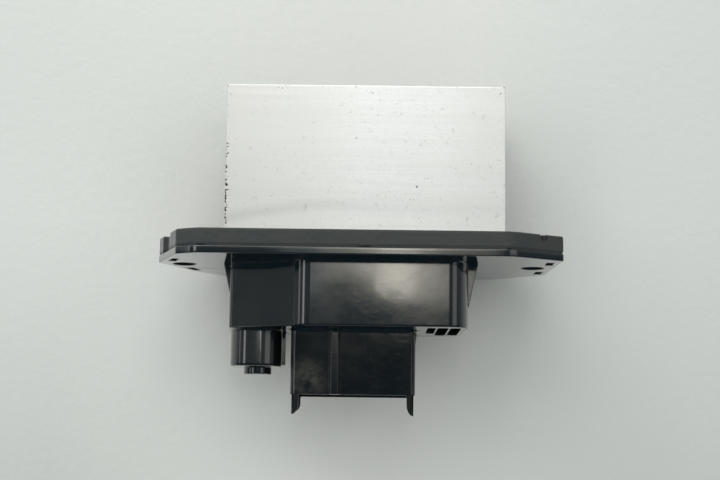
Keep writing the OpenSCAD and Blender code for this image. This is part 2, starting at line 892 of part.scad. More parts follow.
module control_chip_legs() {
    half = chip_size[0] / 2 - chip_draft;
    color(tin)
        for (s = [-1, 1], i = [0:3])
            translate([chip_x, chip_y + (i - 1.5) * chip_pitch + 0.2, board_top])
                rotate([90, 0, 0])
                    linear_extrude(0.4)
                        polygon([for (p = [
                            [half, 0.9], [half + 0.5, 0.9], [half + 0.7, 0.2], [half + 1.2, 0.2],
                            [half + 1.2, 0], [half + 0.55, 0], [half + 0.35, 0.7], [half, 0.7]
                        ]) [s * p[0], p[1]]]);
}

module diode_body() {
    color(epoxy)
        translate([diode_x, diode_y, board_top + diode_rise])
            linear_extrude(diode_size[2])
                square([diode_size[0], diode_size[1]], center = true);
}

module diode_tabs() {
    color(tin)
        for (s = [-1, 1])
            translate([diode_x + s * (diode_size[0] / 2 + 0.5), diode_y, board_top + 0.6])
                cube([1, 2.8, 1.2], center = true);
}

module chip_resistors() {
    color([0.15, 0.15, 0.16])
        for (i = [0:3])
            translate([
                chip_x - 2.6 + i * resistor_pitch, chip_y - row_setback, board_top + resistor_size[2] / 2
            ])
                rotate(90)
                    cube(resistor_size, center = true);
}

module chip_capacitors() {
    color([0.62, 0.5, 0.35])
        for (i = [0:2])
            translate([
                chip_x - 2.2 + i * ceramic_pitch, chip_y + row_setback, board_top + ceramic_size[2] / 2
            ])
                rotate(90)
                    cube(ceramic_size, center = true);
}

// Solder round a flat foot that comes up through the board, in two steps
module solder_fillet(x, y, w, d) {
    difference() {
        translate([x, y, 0]) {
            slab(board_top, board_top + solder_h / 2)
                rounded_rect(w + 2 * solder_spread, d + 2 * solder_spread, solder_spread);
            slab(board_top, board_top + solder_h)
                rounded_rect(w + solder_spread, d + solder_spread, solder_spread / 2);
        }
        block(x - w / 2 - fit_gap, x + w / 2 + fit_gap, y - d / 2 - fit_gap, y + d / 2 + fit_gap,
            board_top - 1, board_top + 2);
    }
}

module solder_joints() {
    color([0.7, 0.7, 0.72]) {
        for (b = blades)
            solder_fillet(b[0], blade_y, foot_w(b[1]), blade_t);
        for (s = [-1, 1])
            difference() {
                translate([pocket_x + s * cap_lead_pitch / 2, pocket_y, board_top])
                    cylinder(h = solder_h, r1 = cap_lead_d / 2 + solder_spread, r2 = cap_lead_d / 2 + 0.1);
                disc(pocket_x + s * cap_lead_pitch / 2, pocket_y, board_top - 1, board_top + 2,
                    cap_lead_d + 2 * fit_gap);
            }
    }
}

housing();
gasket();
heat_sink();
heat_sink_screws();
insulating_pad();
transistor_tab();
transistor_case();
transistor_leads();
transistor_washer();
transistor_screw();
circuit_board();
board_screws();
terminal_supply();
terminal_signal();
terminal_ground();
terminal_motor();
capacitor_can();
capacitor_bung();
capacitor_leads();
shunt_resistor();
control_chip();
control_chip_legs();
diode_body();
diode_tabs();
chip_resistors();
chip_capacitors();
solder_joints();
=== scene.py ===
import math

import bmesh
import bpy
from mathutils import Matrix, Vector, noise


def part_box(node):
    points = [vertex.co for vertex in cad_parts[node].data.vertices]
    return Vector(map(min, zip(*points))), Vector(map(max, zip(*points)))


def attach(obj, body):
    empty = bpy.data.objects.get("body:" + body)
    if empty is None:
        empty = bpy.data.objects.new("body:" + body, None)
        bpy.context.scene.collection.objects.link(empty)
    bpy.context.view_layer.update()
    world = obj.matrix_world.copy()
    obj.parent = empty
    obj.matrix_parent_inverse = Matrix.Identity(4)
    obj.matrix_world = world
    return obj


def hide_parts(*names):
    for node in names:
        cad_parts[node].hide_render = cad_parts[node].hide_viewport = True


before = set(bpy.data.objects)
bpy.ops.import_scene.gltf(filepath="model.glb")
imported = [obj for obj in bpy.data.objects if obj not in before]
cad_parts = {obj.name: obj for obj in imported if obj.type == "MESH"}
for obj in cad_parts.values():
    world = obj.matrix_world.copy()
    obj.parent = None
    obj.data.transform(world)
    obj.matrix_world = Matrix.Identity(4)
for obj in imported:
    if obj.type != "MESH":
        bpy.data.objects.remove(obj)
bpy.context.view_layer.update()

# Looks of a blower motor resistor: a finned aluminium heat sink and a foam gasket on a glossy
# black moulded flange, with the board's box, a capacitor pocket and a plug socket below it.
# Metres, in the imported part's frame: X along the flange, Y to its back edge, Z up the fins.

scene = bpy.context.scene
scene.view_settings.view_transform = "Standard"


# ---- The table, the camera and the lamps ----
# The part lies on its back on a pale table: the flange's far edge and the tops of the last fins
# touch it, so the table stands upright behind the part. The camera looks straight at it.

MM = 0.001


def mm(x, y, z):
    """A point in the part's frame, given in millimetres."""
    return Vector((x, y, z)) * MM


VIEW_TILT = math.radians(8.6)
VIEW_ROLL = math.radians(0.75)
VIEW_DISTANCE = 0.370
VIEW_TARGET = mm(0.3, -22, 1.68)

look = Vector((0, math.cos(VIEW_TILT), math.sin(VIEW_TILT)))
level_up = Vector((0, -math.sin(VIEW_TILT), math.cos(VIEW_TILT)))
right = math.cos(VIEW_ROLL) * Vector((1, 0, 0)) + math.sin(VIEW_ROLL) * level_up
up = right.cross(look)
camera_data = bpy.data.cameras.new("camera")
camera_data.sensor_width = 36
camera_data.lens = 75.5
camera_data.clip_start = 0.01
camera = bpy.data.objects.new("camera", camera_data)
camera.matrix_world = (
    Matrix.Translation(VIEW_TARGET - VIEW_DISTANCE * look)
    @ Matrix((right, up, -look)).transposed().to_4x4()
)
scene.collection.objects.link(camera)
scene.camera = camera

# the two lines on which the part touches the table, seen from the side
TABLE_TOUCH_FLANGE = mm(0, 24.6, 4.4)
TABLE_TOUCH_FIN = mm(0, 17.6, 42.4)
TABLE_HALF = 1.6

table_up = (TABLE_TOUCH_FIN - TABLE_TOUCH_FLANGE).normalized()
corners = [
    TABLE_TOUCH_FLANGE + Vector((x * TABLE_HALF, 0, 0)) + table_up * (z * TABLE_HALF)
    for x, z in ((-1, -1), (1, -1), (1, 1), (-1, 1))
]
table_mesh = bpy.data.meshes.new("table")
table_mesh.from_pydata(corners, [], [(0, 1, 2, 3)])
table = bpy.data.objects.new("table", table_mesh)
scene.collection.objects.link(table)

# the sockets of a Mix node that mixes colours
MIX_MASK, MIX_FIRST, MIX_SECOND, MIX_RESULT = 0, 6, 7, 2


def add(tree, kind, links=None, **settings):
    """A shader node; links gives each input socket a value or another node's output."""
    node = tree.nodes.new("ShaderNode" + kind)
    for key, value in settings.items():
        setattr(node, key, value)
    for socket, value in (links or {}).items():
        if isinstance(value, bpy.types.NodeSocket):
            tree.links.new(value, node.inputs[socket])
        else:
            node.inputs[socket].default_value = value
    return node


def maths(tree, operation, first, second=0.0):
    """One step of arithmetic on two masks or numbers."""
    return add(tree, "Math", {0: first, 1: second}, operation=operation).outputs[0]


def times(tree, first, second):
    """A mask made weaker by a number, or kept only where another mask is."""
    return maths(tree, "MULTIPLY", first, second)


def spread(tree, value, low, high, to_low=0.0, to_high=1.0):
    """The value stretched from the range low..high to to_low..to_high."""
    ends = {"From Min": low, "From Max": high, "To Min": to_low, "To Max": to_high}
    return add(tree, "MapRange", {"Value": value, **ends}).outputs[0]


def blend_colour(tree, mask, first, second):
    """A colour that goes from first to second with the mask."""
    links = {MIX_MASK: mask}
    for socket, colour in ((MIX_FIRST, first), (MIX_SECOND, second)):
        links[socket] = colour if isinstance(colour, bpy.types.NodeSocket) else (*colour, 1)
    return add(tree, "Mix", links, data_type="RGBA").outputs[MIX_RESULT]


def patches(tree, place, scale, detail, roughness=0.5):
    """An uneven mask; scale is the number of patches in a metre."""
    links = {"Vector": place, "Scale": scale, "Detail": detail, "Roughness": roughness}
    return add(tree, "TexNoise", links).outputs["Fac"]


def along_axes(tree, vector):
    """The three parts of a place or a direction."""
    return add(tree, "SeparateXYZ", {"Vector": vector}).outputs


def finish(name, **constants):
    """A new material, with the numbers that are the same all over set on its shader."""
    material = bpy.data.materials.new(name)
    material.use_nodes = True
    tree = material.node_tree
    shader = tree.nodes["Principled BSDF"]
    for label, value in constants.items():
        shader.inputs[label.replace("_", " ")].default_value = value
    return material, tree, shader


def feed(tree, shader, **outputs):
    """Links what changes over the surface to the shader's sockets."""
    for label, output in outputs.items():
        tree.links.new(output, shader.inputs[label.replace("_", " ")])


def emboss(tree, shader, height, strength, depth):
    """Raises the surface by a height mask, which is worth depth at full strength."""
    links = {"Height": height, "Strength": strength, "Distance": depth}
    feed(tree, shader, Normal=add(tree, "Bump", links).outputs["Normal"])


TABLE_COLOURS = ((0.65, 0.672, 0.652), (0.68, 0.697, 0.677))
# painted shade: the greyer table colours towards the foot and the sides
TABLE_SHADE_AT_FOOT = (0.51, 0.54, 0.52)
TABLE_SHADE_AT_RIGHT = (0.52, 0.55, 0.55)
TABLE_SHADE_AT_LEFT = (0.52, 0.55, 0.54)

material, tree, shader = finish("pale_table", Roughness=0.75, Specular_IOR_Level=0.3)
place = add(tree, "TexCoord").outputs["Object"]
surface = add(tree, "ValToRGB", {"Fac": patches(tree, place, 9.0, 3.0)})
for end, position, colour in zip(surface.color_ramp.elements, (0.3, 0.7), TABLE_COLOURS):
    end.position = position
    end.color = (*colour, 1)
# painted shade: the table is painted a little greyer towards its foot and its sides, where less
# light falls
across, _, height_up = along_axes(tree, place)
aside = spread(tree, maths(tree, "ABSOLUTE", across), 0.012, 0.085, 0.0, 0.95)
near_foot = times(tree, aside, spread(tree, height_up, 0.015, -0.06))
colour = blend_colour(tree, near_foot, surface.outputs["Color"], TABLE_SHADE_AT_FOOT)
colour = blend_colour(tree, spread(tree, across, 0.03, 0.10, 0.0, 0.45), colour, TABLE_SHADE_AT_RIGHT)
colour = blend_colour(tree, spread(tree, across, -0.05, -0.10, 0.0, 0.25), colour, TABLE_SHADE_AT_LEFT)
feed(tree, shader, Base_Color=colour)
emboss(tree, shader, patches(tree, place, 420.0, 4.0, 0.6), 0.25, 0.6 * MM)
# the table can't be seen from behind, and lamps shine through it onto the part's back
path = add(tree, "LightPath").outputs
behind = add(tree, "NewGeometry").outputs["Backfacing"]
see_through = maths(tree, "MAXIMUM", behind, path["Is Shadow Ray"])
clear = add(tree, "BsdfTransparent").outputs[0]
top = add(tree, "MixShader", {0: see_through, 1: shader.outputs[0], 2: clear}).outputs[0]
tree.links.new(top, tree.nodes["Material Output"].inputs["Surface"])
table_mesh.materials.append(material)

LAMP_DISTANCE = 1.0
WHITE_LIGHT = (1, 1, 1)
WARM_LIGHT = (1, 0.96, 0.83)
COOL_LIGHT = (0.86, 1, 1)


def soft_lamp(name, azimuth, elevation, width, height, brightness, tint=WHITE_LIGHT):
    """A soft oblong lamp, placed by the angles at which the part sees it; 0, 0 is along -Y."""
    a, e = math.radians(azimuth), math.radians(elevation)
    away = Vector((math.sin(a) * math.cos(e), -math.cos(a) * math.cos(e), math.sin(e)))
    lamp = bpy.data.lights.new(name, "AREA")
    lamp.shape = "RECTANGLE"
    lamp.size = width
    lamp.size_y = height
    lamp.energy = brightness * math.pi * width * height
    lamp.color = tint
    holder = bpy.data.objects.new(name, lamp)
    holder.location = away * LAMP_DISTANCE
    holder.rotation_mode = "QUATERNION"
    holder.rotation_quaternion = away.to_track_quat("Z", "Y")
    holder.visible_camera = False
    scene.collection.objects.link(holder)


# a window behind the camera, built up from upright strips: how far each one stands to the right
# of the camera, the height of its lower end and its brightness
STRIP_WIDTH = 0.018
STRIP_TOP = 0.32
STRIPS = [
    (-0.063, 0.050, 0.75), (-0.045, 0.052, 0.85), (-0.027, 0.066, 2.1), (-0.009, 0.072, 2.4),
    (0.009, 0.070, 3.8), (0.027, 0.055, 6.7), (0.045, 0.048, 6.2), (0.063, 0.045, 3.2),
    (0.081, 0.043, 1.9), (0.099, 0.042, 1.5), (0.117, 0.040, 1.3),
]
WARM_FROM = 1

for i, (across, foot, brightness) in enumerate(STRIPS):
    soft_lamp(
        f"window_front_{i}",
        math.degrees(math.atan(across)),
        math.degrees(math.atan((foot + STRIP_TOP) / 2)),
        STRIP_WIDTH,
        STRIP_TOP - foot,
        brightness,
        WARM_LIGHT if brightness > WARM_FROM else COOL_LIGHT,
    )
soft_lamp("window_left", -38, 12, 0.17, 0.7, 2.1)
soft_lamp("window_far_left", -62, 12, 0.15, 0.7, 1.1)
soft_lamp("window_right", 38, 9, 0.4, 0.6, 0.75, (1, 0.96, 0.93))
soft_lamp("ceiling_front", -10, 40, 0.9, 0.5, 3.1, (1, 0.99, 0.97))
soft_lamp("ceiling_left", -60, 50, 0.9, 0.7, 1.8)
soft_lamp("back_left", 150, 35, 0.8, 0.8, 0.8)
soft_lamp("back_right", -150, 20, 0.8, 0.8, 0.8)

# the room: the camera sees it pale and it lights the part evenly; mirrored in the part it is
# paler at the sides and behind, dim towards the camera and dark below
ROOM_PALE = (0.80, 0.82, 0.80)
ROOM_FILL = (0.62, 0.635, 0.625)
ROOM_SIDE = (0.56, 0.585, 0.575)
ROOM_DIM = (0.215, 0.255, 0.27)
ROOM_DARK = (0.02, 0.06, 0.09)
FORWARD = (0.0, -1.0, 0.0)
DOWN = (0.0, 0.0, -1.0)

room = bpy.data.worlds.new("room")
room.use_nodes = True
scene.world = room
tree = room.node_tree
toward = add(tree, "TexCoord").outputs["Generated"]
forward = add(tree, "VectorMath", {0: toward, 1: FORWARD}, operation="DOT_PRODUCT")
downward = add(tree, "VectorMath", {0: toward, 1: DOWN}, operation="DOT_PRODUCT")
dim = spread(tree, forward.outputs["Value"], 0.02, 0.3)
below = spread(tree, downward.outputs["Value"], -0.056, -0.047)
shown = blend_colour(tree, dim, ROOM_SIDE, ROOM_DIM)
shown = blend_colour(tree, below, shown, ROOM_DARK)
path = add(tree, "LightPath").outputs
mirrored = maths(tree, "MAXIMUM", path["Is Glossy Ray"], path["Is Transmission Ray"])
shown = blend_colour(tree, mirrored, ROOM_FILL, shown)
shown = blend_colour(tree, path["Is Camera Ray"], shown, ROOM_PALE)
tree.links.new(shown, tree.nodes["Background"].inputs["Color"])


# ---- Housing ----
# The flange plate, box, capacitor pocket and plug socket are one injection moulding in glossy
# black glass-filled plastic. Its edges are slightly rounded and rubbed from handling.

WELD = 1e-6
FLAT_WITHIN = math.radians(0.5)
SHARP_FROM = math.radians(25)
ROOM_TAKEN = 0.42
LEAST_SHARE = 0.08


def welded(node):
    """The node's mesh with the points that lie on each other made one, ready for editing."""
    bm = bmesh.new()
    bm.from_mesh(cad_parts[node].data)
    bmesh.ops.remove_doubles(bm, verts=bm.verts, dist=WELD)
    return bm


def new_piece(name, bm):
    """A new piece in the scene with the edited mesh."""
    mesh = bpy.data.meshes.new(name)
    bm.to_mesh(mesh)
    bm.free()
    piece = bpy.data.objects.new(name, mesh)
    scene.collection.objects.link(piece)
    return piece


def room_beside(edge):
    """How far the two faces of an edge reach across from it, within its own length."""
    start = edge.verts[0].co
    along = edge.verts[1].co - start
    length = along.length
    along.normalize()
    nearest = 1.0
    for face in edge.link_faces:
        for vert in face.verts:
            offset = vert.co - start
            t = offset.dot(along)
            if -WELD < t < length + WELD:
                across = (offset - along * t).length
                if across > 2 * WELD:
                    nearest = min(nearest, across)
    return nearest


def rounded_copy(name, node, radius, steps=3, softer=None, cuts=()):
    """A new piece with the node's shape and its edges rounded by radius, where there is room.

    softer gives the share of the radius that an edge takes; without it, every edge takes all.
    cuts are Y planes that part the flat faces at their holes, so that no sliver is left."""
    bm = welded(node)
    for y in cuts:
        everything = bm.verts[:] + bm.edges[:] + bm.faces[:]
        found = bmesh.ops.bisect_plane(
            bm, geom=everything, dist=1e-7, plane_co=(0, y, 0), plane_no=(0, 1, 0)
        )
        for item in found["geom_cut"]:
            if isinstance(item, bmesh.types.BMEdge):
                item.seam = True
    bmesh.ops.dissolve_limit(
        bm, angle_limit=FLAT_WITHIN, verts=bm.verts, edges=bm.edges, delimit={"SEAM"}
    )
    share = bm.edges.layers.float.new("bevel_weight_edge")
    for edge in bm.edges:
        if len(edge.link_faces) == 2 and edge.calc_face_angle(0) > SHARP_FROM:
            wanted = softer(edge) if softer else 1.0
            edge[share] = min(wanted, ROOM_TAKEN * room_beside(edge) / radius)
            edge.smooth = edge[share] > LEAST_SHARE
    piece = new_piece(name, bm)
    for face in piece.data.polygons:
        face.use_smooth = True
    rounds = piece.modifiers.new("rounds", "BEVEL")
    rounds.limit_method = "WEIGHT"
    rounds.offset_type = "OFFSET"
    rounds.width = radius
    rounds.segments = steps
    rounds.use_clamp_overlap = False
    # the large flat faces keep their even shade beside the rounded edges
    flats = piece.modifiers.new("flats", "WEIGHTED_NORMAL")
    flats.keep_sharp = True
    flats.weight = 80
    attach(piece, "root")
    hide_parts(node)
    return piece


def effect(name, numbers, results):
    """A shader node group, with named numbers going in and named masks going out."""
    group = bpy.data.node_groups.new(name, "ShaderNodeTree")
    for label, value in numbers.items():
        socket = group.interface.new_socket(label, in_out="INPUT", socket_type="NodeSocketFloat")
        socket.default_value = value
    for label in results:
        group.interface.new_socket(label, in_out="OUTPUT", socket_type="NodeSocketFloat")
    given = group.nodes.new("NodeGroupInput").outputs
    result = group.nodes.new("NodeGroupOutput").inputs
    return group, given, result


def use(tree, group, **numbers):
    """Puts an effect into a material, with its own numbers, and returns its masks."""
    node = tree.nodes.new("ShaderNodeGroup")
    node.node_tree = group
    for label, value in numbers.items():
        node.inputs[label.replace("_", " ")].default_value = value
    return node.outputs


def distance_from(tree, place, point):
    """How far each place is from the point."""
    return add(tree, "VectorMath", {0: place, 1: point}, operation="DISTANCE").outputs["Value"]


# rubbed edges: 1 along outside edges, broken up by an uneven pattern
tree, given, result = effect("rubbed_edges", {"Width": 0.0004, "Break Up": 900.0}, ["Mask"])
rubbed_edges = tree
links = {"Distance": given["Width"]}
open_sky = add(tree, "AmbientOcclusion", links, samples=6, inside=True, only_local=True)
place = add(tree, "TexCoord").outputs["Object"]
near_edge = spread(tree, open_sky.outputs["AO"], 0.8, 0.45)
kept = spread(tree, patches(tree, place, given["Break Up"], 3.0), 0.2, 0.8)
tree.links.new(times(tree, near_edge, kept), result["Mask"])

# dust in corners: 1 deep in the inside corners, fading out over the reach
tree, given, result = effect("corner_dust", {"Reach": 0.002, "Break Up": 700.0}, ["Mask"])
corner_dust = tree
open_sky = add(tree, "AmbientOcclusion", {"Distance": given["Reach"]}, samples=6, only_local=True)
place = add(tree, "TexCoord").outputs["Object"]
in_corner = spread(tree, open_sky.outputs["AO"], 0.9, 0.3)
kept = spread(tree, patches(tree, place, given["Break Up"], 4.0), 0.15, 0.85)
tree.links.new(times(tree, in_corner, kept), result["Mask"])

# hair scratches: thin, short lines in three directions, each with its turn and its stretch
SCRATCH_DIRECTIONS = ((0.35, 14.0), (1.45, 22.0), (2.6, 17.0))

tree, given, result = effect("hair_scratches", {"Amount": 0.5, "Spacing": 0.002}, ["Mask"])
hair_scratches = tree
place = add(tree, "TexCoord").outputs["Object"]
scale = maths(tree, "DIVIDE", 1.0, given["Spacing"])
strongest = None
for turn, stretch in SCRATCH_DIRECTIONS:
    links = {
        "Vector": place,
        "Rotation": (turn * 0.7, turn, turn * 0.4),
        "Scale": (1.0, stretch, stretch),
    }
    turned = add(tree, "Mapping", links).outputs[0]
    thin = spread(tree, patches(tree, turned, scale, 1.0), 0.70, 0.78)
    strongest = thin if strongest is None else maths(tree, "MAXIMUM", strongest, thin)
tree.links.new(times(tree, strongest, given["Amount"]), result["Mask"])

# specks: small round spots at random places; Share of the cells, Spacing apart, has one
tree, given, result = effect("specks", {"Spacing": 0.004, "Size": 0.03, "Share": 0.3}, ["Mask"])
specks = tree
place = add(tree, "TexCoord").outputs["Object"]
scale = maths(tree, "DIVIDE", 1.0, given["Spacing"])
cells = add(tree, "TexVoronoi", {"Vector": place, "Scale": scale}).outputs
chosen = add(tree, "SeparateColor", {"Color": cells["Color"]}).outputs
has_one = maths(tree, "LESS_THAN", chosen[0], given["Share"])
radius = times(tree, chosen[1], given["Size"])
spot = maths(tree, "LESS_THAN", cells["Distance"], radius)
tree.links.new(times(tree, spot, has_one), result["Mask"])

HOUSING_ROUND = 0.5 * MM
EDGE_SHARE = 0.6
BOX_BOTTOM = -18.5 * MM
PLATE_BOTTOM = -1.9 * MM
SOCKET_LEFT = -17.1 * MM
# where the flat faces are parted, at the plate's holes
HOLE_LINES = [y * MM for y in (-7.2, 0, 6.8, 9.2)]


def housing_share(edge):
    """The box's lower edge is rounded most, the other edges about half as much."""
    level = all(abs(v.co.z - BOX_BOTTOM) < 0.02 * MM for v in edge.verts)
    outer = any(
        abs(f.normal.z) < 0.5 and f.normal.y < 0.7 and f.calc_area() > 4 * MM * MM
        for f in edge.link_faces
    )
    return 1.0 if level and outer else EDGE_SHARE


housing = rounded_copy("housing_moulding", "housing", HOUSING_ROUND, 4, housing_share, HOLE_LINES)

BLACK = (0.0045, 0.0062, 0.0070)
BLACK_HANDLED = (0.0075, 0.0082, 0.0082)
BLACK_SCRATCH = (0.05, 0.05, 0.048)
BLACK_RUBBED = (0.08, 0.08, 0.076)
HOUSING_DUST = (0.10, 0.095, 0.085)
HOUSING_FLECK = (0.10, 0.10, 0.095)
THUMB_GREASE = (0.048, 0.048, 0.041)
THUMB_MARK = mm(-12.6, -2, -31)
RIM_HEIGHT = 1.6 * MM

material, tree, shader = finish(
    "glossy_black_moulding", IOR=1.5, Coat_Roughness=0.06, Coat_IOR=1.5
)
place = add(tree, "TexCoord").outputs["Object"]
along, _, height_up = along_axes(tree, place)
# the socket is duller than the box: plugs have been pushed on and pulled off it
below_box = spread(tree, height_up, BOX_BOTTOM - 0.6 * MM, BOX_BOTTOM - 1.4 * MM)
beside_pocket = spread(tree, along, SOCKET_LEFT - 1.2 * MM, SOCKET_LEFT - 0.6 * MM)
on_socket = times(tree, below_box, beside_pocket)
feed(
    tree,
    shader,
    Coat_Weight=spread(tree, on_socket, 0, 1, 1.0, 0.55),
    Specular_IOR_Level=spread(tree, on_socket, 0, 1, 0.5, 0.2),
)
rub = use(tree, rubbed_edges, Width=0.00045)["Mask"]
dust = use(tree, corner_dust, Reach=0.0018)["Mask"]
scratch = use(tree, hair_scratches, Amount=0.8, Spacing=0.0035)["Mask"]
fleck = use(tree, specks, Spacing=0.0035, Size=0.05, Share=0.12)["Mask"]
clouds = patches(tree, place, 70.0, 3.0)
colour = blend_colour(tree, spread(tree, clouds, 0.42, 0.68), BLACK, BLACK_HANDLED)
colour = blend_colour(tree, times(tree, scratch, 0.2), colour, BLACK_SCRATCH)
colour = blend_colour(tree, times(tree, rub, 0.16), colour, BLACK_RUBBED)
colour = blend_colour(tree, times(tree, dust, 0.10), colour, HOUSING_DUST)
colour = blend_colour(tree, times(tree, fleck, 0.35), colour, HOUSING_FLECK)
# a greasy thumb mark low on the socket's front
from_thumb = distance_from(tree, place, THUMB_MARK)
smear = spread(tree, patches(tree, place, 380.0, 4.0, 0.65), 0.3, 0.6)
thumb = times(tree, spread(tree, from_thumb, 6.5 * MM, 2.0 * MM), smear)
colour = blend_colour(tree, thumb, colour, THUMB_GREASE)
dull = times(tree, maths(tree, "MAXIMUM", rub, dust), 0.25)
gloss = maths(tree, "ADD", spread(tree, clouds, 0.3, 0.75, 0.08, 0.18), dull)
feed(tree, shader, Base_Color=colour, Roughness=gloss)
sink_marks = patches(tree, place, 110.0, 2.0)
ripple = patches(tree, place, 1100.0, 2.0)
height = maths(tree, "ADD", sink_marks, times(tree, ripple, 0.10))
height = maths(tree, "SUBTRACT", height, times(tree, scratch, 0.03))
# the plate's rim falls away towards its lower edge
rim = spread(tree, height_up, PLATE_BOTTOM + RIM_HEIGHT, PLATE_BOTTOM, 0.0, 1.8)
height = maths(tree, "SUBTRACT", height, times(tree, rim, rim))
emboss(tree, shader, height, 1.0, 0.06 * MM)
housing.data.materials.append(material)


# ---- Gasket ----
# A die-cut sheet of dark grey closed-cell foam, stuck on the plate. Its cut edges are soft and
# slightly uneven, and the foam is torn at the right where it has caught on something.

GASKET_CELL = 0.34 * MM
FOAM_TUCK = 0.5 * MM
FOAM_FACE = 0.2 * MM
TUCK_SLOPE = 0.8
CUT_COARSE = 260
CUT_FINE = 900
CUT_DEPTH = 0.05
CUT_INSET = 0.06
FACE_SINK = 0.3


def sideways(vert):
    """The level part of the direction in which the surface faces at the point, as it is now."""
    for face in vert.link_faces:
        face.normal_update()
    vert.normal_update()
    return Vector((vert.normal.x, vert.normal.y, 0))


def foam_copy(name, node, cell):
    """The node's shape cut from foam: an even mesh whose edges are soft and slightly uneven."""
    piece = new_piece(name, welded(node))
    even = piece.modifiers.new("even", "REMESH")
    even.mode = "VOXEL"
    even.voxel_size = cell
    even.use_smooth_shade = True
    settled = piece.evaluated_get(bpy.context.evaluated_depsgraph_get())
    remade = bpy.data.meshes.new_from_object(settled)
    piece.modifiers.clear()
    piece.data = remade
    low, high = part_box(node)
    bm = bmesh.new()
    bm.from_mesh(remade)
    for vert in bm.verts:
        near_face = min(high.z - vert.co.z, vert.co.z - low.z)
        cut = noise.noise(vert.co * CUT_FINE) * CUT_DEPTH
        cut += noise.noise(vert.co * CUT_COARSE) * CUT_DEPTH
        # the foot of the cut sides is drawn in, where the sheet is stuck down
        if vert.co.z < low.z + FOAM_TUCK:
            side = sideways(vert)
            if side.length > 0.5:
                vert.co -= side.normalized() * (low.z + FOAM_TUCK - vert.co.z) * TUCK_SLOPE
        # the cut sides are uneven, and the upper face has sunk a little in places
        if near_face > FOAM_FACE:
            vert.co += sideways(vert) * (cut - CUT_INSET) * MM
        elif vert.co.z > high.z - FOAM_FACE:
            vert.co.z -= (abs(cut) * FACE_SINK) * MM
    for vert, shaped in zip(remade.vertices, bm.verts):
        vert.co = shaped.co
    bm.free()
    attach(piece, "root")
    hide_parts(node)
    return piece


gasket = foam_copy("gasket_foam_sheet", "gasket", GASKET_CELL)

FOAM_DARK = (0.030, 0.036, 0.036)
FOAM_PALE = (0.038, 0.042, 0.041)
FOAM_PORE = (0.03, 0.033, 0.033)
FOAM_RUBBED = (0.12, 0.125, 0.12)
FOAM_FLECK = (0.18, 0.18, 0.17)
# painted shade colour for the inside of the torn nick
FOAM_NICK_SHADE = (0.004, 0.004, 0.004)
TORN_NICK = mm(45.8, -17.1, 3.6)

material, tree, shader = finish(
    "dark_grey_foam", Specular_IOR_Level=0.3, Sheen_Weight=0.6, Sheen_Roughness=0.3
)
place = add(tree, "TexCoord").outputs["Object"]
cells = add(tree, "TexVoronoi", {"Vector": place, "Scale": 2600.0}, feature="F1").outputs
pores = spread(tree, cells["Distance"], 0.15, 0.6)
clouds = patches(tree, place, 160.0, 4.0)
rub = use(tree, rubbed_edges, Width=0.0006, Break_Up=700.0)["Mask"]
fleck = use(tree, specks, Spacing=0.0025, Size=0.06, Share=0.25)["Mask"]
colour = blend_colour(tree, spread(tree, clouds, 0.3, 0.7), FOAM_DARK, FOAM_PALE)
colour = blend_colour(tree, times(tree, pores, 0.25), colour, FOAM_PORE)
colour = blend_colour(tree, times(tree, rub, 0.35), colour, FOAM_RUBBED)
colour = blend_colour(tree, times(tree, fleck, 0.6), colour, FOAM_FLECK)
# painted shade: the torn nick is painted dark inside, where shade falls
ragged = times(tree, clouds, 0.6 * MM)
from_nick = maths(tree, "ADD", distance_from(tree, place, TORN_NICK), ragged)
nick_shade = spread(tree, from_nick, 1.6 * MM, 1.1 * MM)
colour = blend_colour(tree, nick_shade, colour, FOAM_NICK_SHADE)
feed(tree, shader, Base_Color=colour, Roughness=spread(tree, clouds, 0.3, 0.7, 0.5, 0.62))
emboss(tree, shader, maths(tree, "ADD", pores, times(tree, clouds, 1.5)), 0.4, 0.06 * MM)
gasket.data.materials.append(material)


# ---- Heat sink ----
# A length of bare aluminium extrusion, sawn off at both ends. The die has drawn fine lines along
# it, the left cut is dirty, and small dark pits are scattered over its front.

SINK_ROUND = 0.14 * MM

heat_sink = rounded_copy("heat_sink_extrusion", "heat_sink", SINK_ROUND, 2)
sink_low, sink_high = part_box("heat_sink")

# die lines: fine and coarse streaks that run along X
FINE_STRETCH = (0.014, 1.0, 1.0)
COARSE_STRETCH = (0.06, 1.0, 1.0)

tree, given, result = effect("die_lines", {"Pitch": 0.0004}, ["Fine", "Coarse"])
die_lines = tree
place = add(tree, "TexCoord").outputs["Object"]
scale = maths(tree, "DIVIDE", 1.0, given["Pitch"])
drawn = add(tree, "Mapping", {"Vector": place, "Scale": FINE_STRETCH}).outputs[0]
tree.links.new(patches(tree, drawn, scale, 3.0), result["Fine"])
drawn = add(tree, "Mapping", {"Vector": place, "Scale": COARSE_STRETCH}).outputs[0]
tree.links.new(patches(tree, drawn, 240.0, 3.0), result["Coarse"])

# the pits that show on the front face: X, Z and radius in millimetres
PITS = [
    (14.4, 16.3, 0.34), (16.4, 18.4, 0.14), (17.2, 18.5, 0.16), (-1.0, 28.6, 0.22),
    (4.4, 34.6, 0.16), (3.1, 40.3, 0.2), (2.6, 40.5, 0.14), (-1.2, 41.9, 0.2),
    (-0.7, 41.6, 0.14), (-20.8, 41.4, 0.16), (-19.9, 41.3, 0.18), (-2.4, 35.3, 0.16),
    (12.7, 13.1, 0.14), (13.6, 13.0, 0.14), (36.3, 42.2, 0.3), (35.4, 40.6, 0.2),
    (9.1, 37.6, 0.14), (24.4, 42.0, 0.14), (28.1, 22.3, 0.16), (-14.9, 32.6, 0.12),
]
METAL = (0.95, 0.945, 0.925)
# painted highlight colour for the top of the heat sink's front
METAL_PAINTED_HIGHLIGHT = (1.0, 0.995, 0.985)
